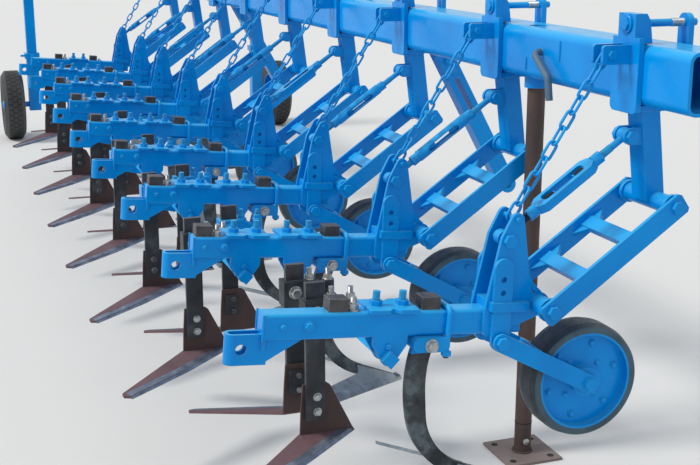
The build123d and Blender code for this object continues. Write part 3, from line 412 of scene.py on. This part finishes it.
def beam_frame(y, z):
    """(back, rise) of a machine point in the beam's own directions."""
    dy = y - BEAM_START[0]
    dz = z - BEAM_START[1]
    along = -dy * math.cos(TILT) + dz * math.sin(TILT)
    rise = dy * math.sin(TILT) + dz * math.cos(TILT)
    return 0.040 + along * math.cos(TILT), rise


def choose_gang(x, y, z, normal):
    back, rise = beam_frame(y, z)
    if rise > 0.0303 and any(near(back, head, 0.0245) for head in (HEAD_FRONT, rear_head(number))):
        return 1
    return 0


def choose_tools(x, y, z, normal):
    across = abs(x - x0)
    if across < 0.205 and y > -0.66:
        if z > 0.585:
            return 1
        return 4 if z < 0.292 and across > 0.009 else 7
    if across > 0.2855 and z < 0.43:
        return 5 if number <= 2 else 6
    if across > 0.2795 and near(z, 0.377, 0.035):
        return 0
    if z < 0.2955:
        return 3
    if across > 0.2715 and z < 0.43:
        return 2
    # holder casting below the shank's head: painted on all sections but the first two
    bar = BAR_FRONT if x > x0 or number == 1 else BAR_REAR
    holder_top = beam_point(bar, -BAR_DROP)[1] + 0.062
    if z > holder_top + 0.002:
        return 6
    if z > holder_top - 0.100 and number > 2:
        return 1
    return 0


for k, x0 in enumerate(section_x):
    number = k + 1
    paint(f"gang_{number}", [BLUE, HEAD], choose_gang)
    paint(f"tools_{number}", [DARK, BLUE, CHEEK_RUST, RED_OXIDE, BLADE, ZINC, HEAD, SHANK], choose_tools)

    def choose_wheel(x, y, z, normal, x0=x0):
        reach = math.hypot(y - WHEEL[0], z - WHEEL[1])
        if reach > WHEEL_R - 0.0212 and abs(x - x0) < 0.0455:
            if abs(normal.x) > 0.5:
                return 1
            return 2 if reach > WHEEL_R - 0.0205 else 0
        return 0

    paint(f"copy_wheel_{number}", [BLUE, RUBBER, WHEEL_TREAD], choose_wheel)
    paint(f"lower_link_{number}", [BLUE], lambda *a: 0)
    paint(f"upper_link_{number}", [BLUE], lambda *a: 0)


def choose_toolbar(x, y, z, normal):
    return 1 if y < -0.0735 and near(x, 2.43, 0.10) else 0


paint("toolbar", [BLUE, HANDLE], choose_toolbar)
for name in ("front_brackets", "wheel_arms", "carriage_frame", "chains",
             "carriage_rim_near", "carriage_rim_far"):
    paint(name, [BLUE], lambda *a: 0)
for name in ("carriage_tyre_near", "carriage_tyre_far"):
    # the tyre's outer band between the lugs takes the painted groove shade
    paint(name, [TREAD, GROOVE_SHADE],
          lambda x, y, z, normal: 1 if math.hypot(x - CARRIAGE_X, z - CARRIAGE_R) > CARRIAGE_R - 0.0015 else 0)
paint("stand_leg", [STAND_RUST, FOOT_RUST], lambda x, y, z, normal: 1 if z < 0.0085 else 0)


# Pieces

def piece(name, mesh_builder, mat, body, smooth=True):
    mesh = bpy.data.meshes.new(name)
    bm = bmesh.new()
    mesh_builder(bm)
    bmesh.ops.recalc_face_normals(bm, faces=bm.faces)
    bm.to_mesh(mesh)
    bm.free()
    mesh.materials.append(mat)
    for face in mesh.polygons:
        face.use_smooth = smooth
    obj = bpy.data.objects.new(name, mesh)
    collection.objects.link(obj)
    if smooth:
        mesh.set_sharp_from_angle(angle=math.radians(32))
    if body:
        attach(obj, body)
    return obj


def tube(bm, path, radius, sides=12, closed=False, caps=True):
    """Round bar along the points, its rings kept square to the run."""
    count = len(path)
    rings = []
    up = None
    for i, point in enumerate(path):
        before = path[i - 1] if i > 0 or closed else point
        after = path[(i + 1) % count] if i < count - 1 or closed else point
        way = (after - before).normalized()
        if up is None:
            up = way.orthogonal().normalized()
        up = (up - way * up.dot(way)).normalized()
        across = way.cross(up)
        r = radius(i) if callable(radius) else radius
        rings.append([bm.verts.new(point + (up * math.cos(a) + across * math.sin(a)) * r)
                      for a in (2 * math.pi * s / sides for s in range(sides))])
    pairs = range(count if closed else count - 1)
    for i in pairs:
        a, b = rings[i], rings[(i + 1) % count]
        turn = 0
        if closed and i == count - 1:
            turn = min(range(sides), key=lambda t: (a[0].co - b[t].co).length)
        for s in range(sides):
            bm.faces.new((a[s], a[(s + 1) % sides], b[(s + 1 + turn) % sides], b[(s + turn) % sides]))
    if caps and not closed:
        bm.faces.new(list(reversed(rings[0])))
        bm.faces.new(rings[-1])


def lathe(bm, outline, place, segments=32):
    """outline: (along, radius) pairs turned about the place's own Z."""
    rings = []
    for along, radius in outline:
        rings.append([bm.verts.new(place @ Vector((radius * math.cos(a), radius * math.sin(a), along)))
                      for a in (2 * math.pi * s / segments for s in range(segments))])
    for a, b in zip(rings, rings[1:]):
        for s in range(segments):
            bm.faces.new((a[s], a[(s + 1) % segments], b[(s + 1) % segments], b[s]))
    for ring, flip in ((rings[0], True), (rings[-1], False)):
        if outline[0 if flip else -1][1] > 1e-6:
            bm.faces.new(list(reversed(ring)) if flip else ring)


def hex_head(bm, place, size, high, washer=True):
    """Bolt head with a rounded crown, standing on the place's Z, over a washer."""
    base = 0.0
    if washer:
        lathe(bm, [(0, size * 1.42), (size * 0.18, size * 1.42), (size * 0.26, size * 1.34)], place, 20)
        base = size * 0.22
    rings = []
    for along in (base, base + high * 0.82):
        rings.append([bm.verts.new(place @ Vector((
            size * 1.12 * math.cos(math.radians(60 * s)),
            size * 1.12 * math.sin(math.radians(60 * s)), along))) for s in range(6)])
    for s in range(6):
        bm.faces.new((rings[0][s], rings[0][(s + 1) % 6], rings[1][(s + 1) % 6], rings[1][s]))
    crown = [bm.verts.new(place @ Vector((size * 0.9 * math.cos(math.radians(60 * s)),
                                         size * 0.9 * math.sin(math.radians(60 * s)), base + high)))
             for s in range(6)]
    for s in range(6):
        bm.faces.new((rings[1][s], rings[1][(s + 1) % 6], crown[(s + 1) % 6], crown[s]))
    bm.faces.new(crown)
    bm.faces.new(list(reversed(rings[0])))


def facing(x, y, z, direction):
    """Place at a machine point whose Z looks along the direction."""
    way = Vector(direction).normalized()
    return Matrix.Translation(shift(x, y, z)) @ way.to_track_quat("Z", "Y").to_matrix().to_4x4()


def threads(bm, start, way, length, radius, pitch=0.0022):
    """Fine ridges round a threaded end."""
    turns = int(length / pitch)
    place = Matrix.Translation(start) @ way.to_track_quat("Z", "Y").to_matrix().to_4x4()
    outline = []
    for i in range(turns):
        outline.append((i * pitch, radius))
        outline.append((i * pitch + pitch / 2, radius + 0.0009))
    lathe(bm, outline, place, 14)


def bevel_strip(bm, line, place, backward, wide):
    """Ground bevel over a blade's front edge; the line runs in the place's XY plane, the blade above it."""
    rows = []
    for i, point in enumerate(line):
        before = line[max(i - 1, 0)]
        after = line[min(i + 1, len(line) - 1)]
        way = (after - before).normalized()
        inward = Vector((-way.y, way.x, 0))
        if backward and inward.y > 0:
            inward = -inward
        rows.append([bm.verts.new(place @ (point + inward * run + Vector((0, 0, rise)))) for run, rise in (
            (wide, BLADE_T + 0.0002), (0.002, BLADE_T + 0.0006), (-0.008, 0.0006), (0.004, -0.0006))])
    for a, b in zip(rows, rows[1:]):
        for j in range(4):
            bm.faces.new((a[j], a[(j + 1) % 4], b[(j + 1) % 4], b[j]))
    bm.faces.new(rows[0])
    bm.faces.new(list(reversed(rows[-1])))


def weld(bm, points, radius, seed):
    """Uneven bead along the points."""
    path = []
    for a, b in zip(points, points[1:]):
        steps = max(2, int((b - a).length / 0.0035))
        path += [a.lerp(b, i / steps) for i in range(steps)]
    path.append(points[-1])
    tube(bm, path, lambda i: radius * (0.82 + 0.25 * math.sin(i * 1.9 + seed) ** 2), 8)


for k, x0 in enumerate(section_x):
    number = k + 1
    arm = f"upper_arm_{number}"
    gang = f"gang_{number}"
    wheel_body = f"copy_wheel_{number}"

    # threaded ends of the turnbuckle, inside its frame and beyond its noses
    way = Vector((0, FRONT_UPPER[0] - REAR_UPPER[0], FRONT_UPPER[1] - REAR_UPPER[1])).normalized()
    middle = (shift(x0, *FRONT_UPPER) + shift(x0, *REAR_UPPER)) / 2

    def build_threads(bm):
        for end in (-1, 1):
            threads(bm, middle + way * end * 0.060, way * -end, 0.030, 0.0088)
        if number == 1:
            threads(bm, middle - way * 0.115, -way, 0.032, 0.0088)

    if k % 3 == 0:
        piece(f"turnbuckle_threads_{number}", build_threads, DARK, arm)

    def build_painted_threads(bm):
        for end in (1,) if number == 1 else (1, -1):
            threads(bm, middle + way * end * 0.115, way * end, 0.032, 0.0088)

    piece(f"turnbuckle_ends_{number}", build_painted_threads, BLUE, arm)

    def build_wheel_bolts(bm):
        for i in range(6):
            a = math.radians(60 * i + 15)
            y = WHEEL[0] + 0.092 * math.cos(a)
            z = WHEEL[1] + 0.092 * math.sin(a)
            hex_head(bm, facing(x0 + 0.019, y, z, (1, 0, 0)), 0.0065, 0.006)
            hex_head(bm, facing(x0 + 0.013, y, z, (-1, 0, 0)), 0.0065, 0.006)
        for i in range(4):
            a = math.radians(90 * i + 40)
            y = WHEEL[0] + 0.056 * math.cos(a)
            z = WHEEL[1] + 0.056 * math.sin(a)
            hex_head(bm, facing(x0 + 0.019, y, z, (1, 0, 0)), 0.006, 0.005)

    piece(f"wheel_bolts_{number}", build_wheel_bolts, BLUE, wheel_body)

    def build_set_bolts(bm):
        y, z = beam_point(0.269, -0.030 - 0.018)
        hex_head(bm, facing(x0 + 0.0445, y, z, (1, 0, 0)), 0.0115, 0.013)
        # upright bolt with its nut and thread, in front of the rear head
        upright = (0, math.sin(TILT), math.cos(TILT))
        y, z = beam_point(rear_head(number) - 0.040, 0.0302)
        hex_head(bm, facing(x0 + 0.004, y, z, upright), 0.0115, 0.012)
        threads(bm, shift(x0 + 0.004, y, z + 0.013), Vector(upright), 0.022, 0.0062)

    piece(f"set_bolts_{number}", build_set_bolts, ZINC, gang)

    def build_blade_edges(bm):
        for side, bar in hoes(number):
            shank_y = REAR_LOWER[0] - bar - HOE_BEHIND
            reach = 0.204 / math.cos(HOE_DROOP)
            front = shank_y + 0.105
            tip = shank_y - 0.038 - 0.215 + 0.020
            line = [(0.0, front), (reach / 2, (front + tip) / 2 + 0.015), (reach - 0.0005, tip)]
            turn = Matrix.Rotation(-side * HOE_DROOP, 4, "Y")
            place = Matrix.Translation(shift(x0 + side * CHEEK_X, 0, BLADE_LOW)) @ turn
            bevel_strip(bm, [Vector((-side * d, y, 0)) for d, y in line], place, True, 0.021)
        y, z = beam_point(SWEEP_BACK, -0.058)
        knee = (y - 0.018, SWEEP_KNEE)
        end = (knee[0] + SWEEP_BEND * (1 - math.cos(SWEEP_TURN)), knee[1] - SWEEP_BEND * math.sin(SWEEP_TURN))
        nose = shift(x0, end[0] + 0.128, end[1] - 0.044)
        for side in (-1, 1):
            edge = Vector((side * 0.200, -0.269, 0.043))
            ground = Vector((0, 0.043, 0.269)).normalized()
            inward = edge.normalized().cross(ground) * side
            surface = inward * math.cos(math.radians(22)) + ground * math.sin(math.radians(22))
            up = edge.normalized().cross(surface) * -side
            place = Matrix((edge.normalized(), surface, up)).transposed().to_4x4()
            place.translation = nose
            bevel_strip(bm, [Vector((0, 0, 0)), Vector((edge.length, 0, 0))], place, False, 0.020)

    piece(f"blade_edges_{number}", build_blade_edges, EDGE, gang)

    def build_casting_bolts(bm):
        for side, bar in hoes(number):
            bar_y, bar_z = beam_point(bar, -BAR_DROP)
            x = x0 + side * HOLDER_BOLTS
            for y, top in ((bar_y - 0.039, bar_z + 0.060), (bar_y + 0.012, bar_z + 0.056)):
                hex_head(bm, facing(x, y, top, (0, 0, 1)), 0.0105, 0.012)
                threads(bm, shift(x, y, top + 0.012), Vector((0, 0, 1)), 0.020, 0.0062)
            for way in (1, -1):
                out = HOLDER_OUTSIDE if way == side else HOLDER_INSIDE
                place = facing(x0 + side * out, bar_y - HOE_BEHIND + 0.004, bar_z + 0.034, (way, 0, 0))
                hex_head(bm, place, 0.0125, 0.012)

    bare = number <= 2
    piece(f"casting_bolts_{number}", build_casting_bolts, ZINC if bare else BLUE, gang)

    def build_cheek_bolts(bm):
        for side, bar in hoes(number):
            shank_y = REAR_LOWER[0] - bar - HOE_BEHIND
            for z in (0.357, 0.397):
                hex_head(bm, facing(x0 + side * SHANK_INSIDE, shank_y + 0.004, z, (-side, 0, 0)), 0.008, 0.008)

    piece(f"cheek_bolts_{number}", build_cheek_bolts, ZINC if bare else HEAD, gang)

    def build_bosses(bm):
        for side, bar in hoes(number):
            bar_y, bar_z = beam_point(bar, -BAR_DROP)
            for y, low, high in ((bar_y - 0.039, 0.050, 0.060), (bar_y + 0.012, 0.022, 0.056)):
                lathe(bm, [(low, 0.0172), (high - 0.001, 0.0164), (high, 0.0154)],
                      facing(x0 + side * HOLDER_BOLTS, y, bar_z, (0, 0, 1)), 20)

    piece(f"casting_bosses_{number}", build_bosses, DARK if bare else BLUE, gang)

    def build_clamp_threads(bm):
        for side, bar in hoes(number):
            for way in (-1, 1):
                y, z = beam_point(bar + way * 0.032, 0.030 + 0.009 + 0.012)
                threads(bm, shift(x0, y, z), Vector((0, math.sin(TILT), math.cos(TILT))), 0.0235, 0.0080)

    piece(f"clamp_threads_{number}", build_clamp_threads, BLUE, gang)

    def build_side_bolts(bm):
        for back in (0.578, 0.634) if len(hoes(number)) == 2 else (0.560, 0.620):
            y, z = beam_point(back, 0.002)
            size = 0.0095 if back < 0.6 else 0.006
            for way in (1, -1):
                hex_head(bm, facing(x0 + way * BEAM_HALF_WIDE, y, z, (way, 0, 0)), size, 0.008)
        for side, bar in hoes(number):
            for way in (-1, 1):
                y, z = beam_point(bar + 0.004, -0.052)
                hex_head(bm, facing(x0 + way * BEAM_HALF_WIDE, y, z, (way, 0, 0)), 0.007, 0.006, washer=False)

    piece(f"side_bolts_{number}", build_side_bolts, BLUE, gang)

    def build_gang_welds(bm):
        for side in (-1, 1):
            x = x0 + side * 0.0395
            a = beam_point(0.055, BEAM_HALF_HIGH)
            b = beam_point(0.125, BEAM_HALF_HIGH)
            weld(bm, [shift(x, *a), shift(x, *b)], 0.0035, number)
        end_low = beam_point(BEAM_END, -BEAM_HALF_HIGH)
        end_high = beam_point(BEAM_END, BEAM_HALF_HIGH)
        for side in (-1, 1):
            x = x0 + side * 0.027
            weld(bm, [shift(x, *end_low), shift(x, *end_high)], 0.003, number + side)

    piece(f"gang_welds_{number}", build_gang_welds, BLUE, gang)

    def build_bracket_welds(bm):
        z = BAR_LOW - PLATE_T
        for side in (-1, 1):
            x = x0 + side * 0.0305
            weld(bm, [shift(x, -0.050, z), shift(x, 0.0, z)], 0.004, number)
        weld(bm, [shift(x0 - 0.030, -0.0505, z), shift(x0 + 0.030, -0.0505, z)], 0.004, number + 3)

    piece(f"bracket_welds_{number}", build_bracket_welds, BLUE, "toolbar")

    def build_clamp_bolt(bm):
        place = facing(x0, -BAR_HALF - PLATE_T - 0.0005, BAR_TOP + 0.046, (0, -1, 0))
        lathe(bm, [(0, 0.0225), (0.0035, 0.0225), (0.0045, 0.0215)], place, 24)

    piece(f"clamp_washer_{number}", build_clamp_bolt, BLUE, "toolbar")

    def build_clamp_thread(bm):
        threads(bm, shift(x0, 0.034, BAR_TOP + 0.046), Vector((0, 1, 0)), 0.034, 0.0090)

    piece(f"clamp_thread_{number}", build_clamp_thread, ZINC, "toolbar")

    # chain of forged links from the toolbar's bolt down to the rear bracket
    top = shift(x0, *CHAIN_TOP)
    low = shift(x0, *CHAIN_LOW)
    down = (low - top).normalized()
    span = (low - top).length

    def build_chain(bm):
        wire = 0.0075
        count = CHAIN_LINKS
        bolt_r = 0.006
        inner = (span + 2 * bolt_r + (count + 1) * 0.0003) / count
        step = inner - 0.0003
        start = inner / 2 - bolt_r - 0.0003
        in_plane = Vector((0, down.z, -down.y))
        across = Vector((1, 0, 0))
        for i in range(count):
            centre = top + down * (start + i * step)
            side = in_plane if i % 2 == 0 else across
            r = 0.0145 - wire / 2
            half = inner / 2 + wire / 2 - r
            points = []
            for end in (1, -1):
                for j in range(7):
                    a = math.radians(-90 + 30 * j)
                    along = down * end * (half + r * math.cos(a))
                    points.append(centre + along + side * end * r * math.sin(a))
            tube(bm, points, wire / 2, 8, closed=True)

    chain_piece = piece(f"chain_{number}", build_chain, BLUE, None)
    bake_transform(chain_piece)
    if number == 1:
        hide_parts("chains")


# Stand: pin, painted shade discs for the foot holes, the pipe's dark joint and its weld


def build_stand_pin(bm):
    place = facing(STAND_X + STAND_R - 0.0005, STAND_Y - 0.002, 0.045, (1, 0, 0))
    lathe(bm, [(0, 0.010), (0.003, 0.010), (0.004, 0.006)], place, 16)


piece("stand_pin", build_stand_pin, ZINC, "stand")



# near-black discs: painted shade where the foot plate's holes are
def build_foot_hole_shades(bm):
    for x, y in ((-0.062, -0.062), (0.062, 0.062), (-0.062, 0.062), (0.062, -0.062)):
        lathe(bm, [(0, 0.010), (0.0005, 0.010)], facing(STAND_X + x, STAND_Y + y, 0.0081, (0, 0, 1)), 20)


piece("stand_foot_hole_shades", build_foot_hole_shades, HOLE_SHADE_AND_JOINT_BLACK, "stand", smooth=False)


def build_foot_weld(bm):
    ring = [shift(STAND_X + 0.028 * math.cos(a), STAND_Y + 0.028 * math.sin(a), 0.0095)
            for a in (2 * math.pi * i / 40 for i in range(41))]
    tube(bm, ring, lambda i: 0.0035 + 0.0008 * math.sin(i * 2.3) ** 2, 8)


def build_pipe_joint(bm):
    outline = [(0, STAND_R), (0.0004, STAND_R + 0.0008), (0.0030, STAND_R + 0.0008), (0.0034, STAND_R)]
    lathe(bm, outline, facing(STAND_X, STAND_Y, 0.100, (0, 0, 1)), 40)


piece("stand_joint", build_pipe_joint, HOLE_SHADE_AND_JOINT_BLACK, "stand")
piece("stand_weld", build_foot_weld, STAND_RUST, "stand")


# Transport carriage: tread, wheel bolts and the bolted flange
def build_tread(bm, centre_y):
    middle = shift(CARRIAGE_X, centre_y, CARRIAGE_R)
    count = 40

    def ring_point(angle, across, reach):
        return bm.verts.new(middle + Vector((math.cos(angle) * reach, across, math.sin(angle) * reach)))

    rows = ((-0.050, -0.020, 0.010), (-0.014, 0.014, 0.0), (0.020, 0.050, -0.010))
    for row, (low, high, lean) in enumerate(rows):
        for i in range(count):
            start = 2 * math.pi * (i + 0.5 * (row % 2)) / count
            corners = []
            for across, lag in ((low, lean), (high, -lean)):
                for step in (0.0, 0.105):
                    edge = 0.2525 if abs(across) < 0.045 else 0.2512
                    corners.append((start + step + lag, across, edge))
            quad = [corners[0], corners[1], corners[3], corners[2]]
            foot = [ring_point(angle, across, reach - 0.004) for angle, across, reach in quad]
            top = [ring_point(angle, across, reach + 0.004) for angle, across, reach in quad]
            bm.faces.new(top)
            bm.faces.new(list(reversed(foot)))
            for j in range(4):
                bm.faces.new((foot[j], foot[(j + 1) % 4], top[(j + 1) % 4], top[j]))


def build_rim_bolts(bm, side):
    y = side * (CARRIAGE_WHEEL_Y + 0.0045)
    for i in range(5):
        a = 2 * math.pi * i / 5 + 0.3
        x = CARRIAGE_X + 0.070 * math.cos(a)
        hex_head(bm, facing(x, y, CARRIAGE_R + 0.070 * math.sin(a), (0, side, 0)), 0.0095, 0.012)
    lathe(bm, [(0, 0.030), (0.018, 0.029), (0.024, 0.022), (0.026, 0.006)],
          facing(CARRIAGE_X, side * (CARRIAGE_WHEEL_Y + 0.050), CARRIAGE_R, (0, side, 0)), 28)


for name, side in (("near", 1), ("far", -1)):
    body = f"carriage_wheel_{name}"
    piece(f"carriage_tread_{name}", lambda bm: build_tread(bm, side * CARRIAGE_WHEEL_Y),
          TREAD, body, smooth=False)
    piece(f"carriage_bolts_{name}", lambda bm: build_rim_bolts(bm, side), BLUE, body)


def build_flange_bolts(bm):
    for y in (-0.083, 0.083):
        for z in (BAR_LOW + BAR_HALF - 0.083, BAR_LOW + BAR_HALF + 0.083):
            hex_head(bm, facing(BAR_TAIL - PLATE_T, y, z, (-1, 0, 0)), 0.011, 0.012)
            hex_head(bm, facing(BAR_TAIL, y, z, (1, 0, 0)), 0.011, 0.012)
    for side in (-1, 1):
        for way in (-1, 1):
            place = facing(CARRIAGE_X + way * COLLAR_HALF, side * POST_Y, COLLAR_Z, (way, 0, 0))
            hex_head(bm, place, 0.010, 0.011)
        lathe(bm, [(0, 0.008), (0.028, 0.008), (0.030, 0.006)],
              facing(CARRIAGE_X, side * (POST_Y + COLLAR_HALF), COLLAR_Z, (0, side, 0)), 14)


piece("flange_bolts", build_flange_bolts, BLUE, "toolbar")


def build_arm_bolts(bm):
    for side in (-1, 1):
        for way in (-1, 1):
            for y, z in ((0.083, 1.096), (0.104, 1.060)):
                hex_head(bm, facing(side * SUPPORT_ARM_X + way * 0.030, y, z, (way, 0, 0)), 0.011, 0.011)


piece("arm_bolts", build_arm_bolts, BLUE, "toolbar")


def build_bar_welds(bm):
    for x, low, high in ((2.475, 1.204, 1.256), (2.296, 1.162, 1.197)):
        weld(bm, [shift(x, -0.0705, low), shift(x + 0.002, -0.0705, high)], 0.0035, 5)


piece("bar_welds", build_bar_welds, BLUE, "toolbar")

# Camera at the photograph's place
yaw = math.radians(19.74)
pitch = math.radians(14.51)
forward = Vector((-math.cos(yaw) * math.cos(pitch), math.sin(yaw) * math.cos(pitch), -math.sin(pitch)))
right = Vector((math.sin(yaw), math.cos(yaw), 0))
above = right.cross(forward)
camera_data = bpy.data.cameras.new("camera")
camera_data.lens = 60.0
camera_data.sensor_width = 36.0
camera_data.clip_end = 100.0
camera = bpy.data.objects.new("camera", camera_data)
turn = Matrix((right, above, -forward)).transposed().to_4x4()
camera.matrix_world = Matrix.Translation(shift(5.140, -1.600, 1.530)) @ turn
collection.objects.link(camera)
bpy.context.scene.camera = camera

# Pale floor, soft sky and one wide lamp
floor_mesh = bpy.data.meshes.new("floor")
floor_mesh.from_pydata([(-40, -40, 0), (40, -40, 0), (40, 40, 0), (-40, 40, 0)], [], [(0, 1, 2, 3)])
floor = bpy.data.objects.new("floor", floor_mesh)
collection.objects.link(floor)
floor_mat, _, floor_shader = new_material("floor", (0.62, 0.62, 0.61), 0.9)
floor_shader.inputs["Specular IOR Level"].default_value = 0.1
floor_mesh.materials.append(floor_mat)

world = bpy.data.worlds.new("world")
world.use_nodes = True
bpy.context.scene.world = world
tree = world.node_tree
background = tree.nodes["Background"]
background.inputs["Color"].default_value = (0.92, 0.96, 1.0, 1)
background.inputs["Strength"].default_value = 0.79

sun_data = bpy.data.lights.new("sun", "SUN")
sun_data.energy = 2.25
sun_data.angle = math.radians(14)
sun_data.color = (1.0, 0.97, 0.92)
sun = bpy.data.objects.new("sun", sun_data)
sun.rotation_euler = (math.radians(38), math.radians(18), math.radians(-30))
collection.objects.link(sun)

bpy.context.scene.view_settings.view_transform = "Standard"

bpy.context.view_layer.update()
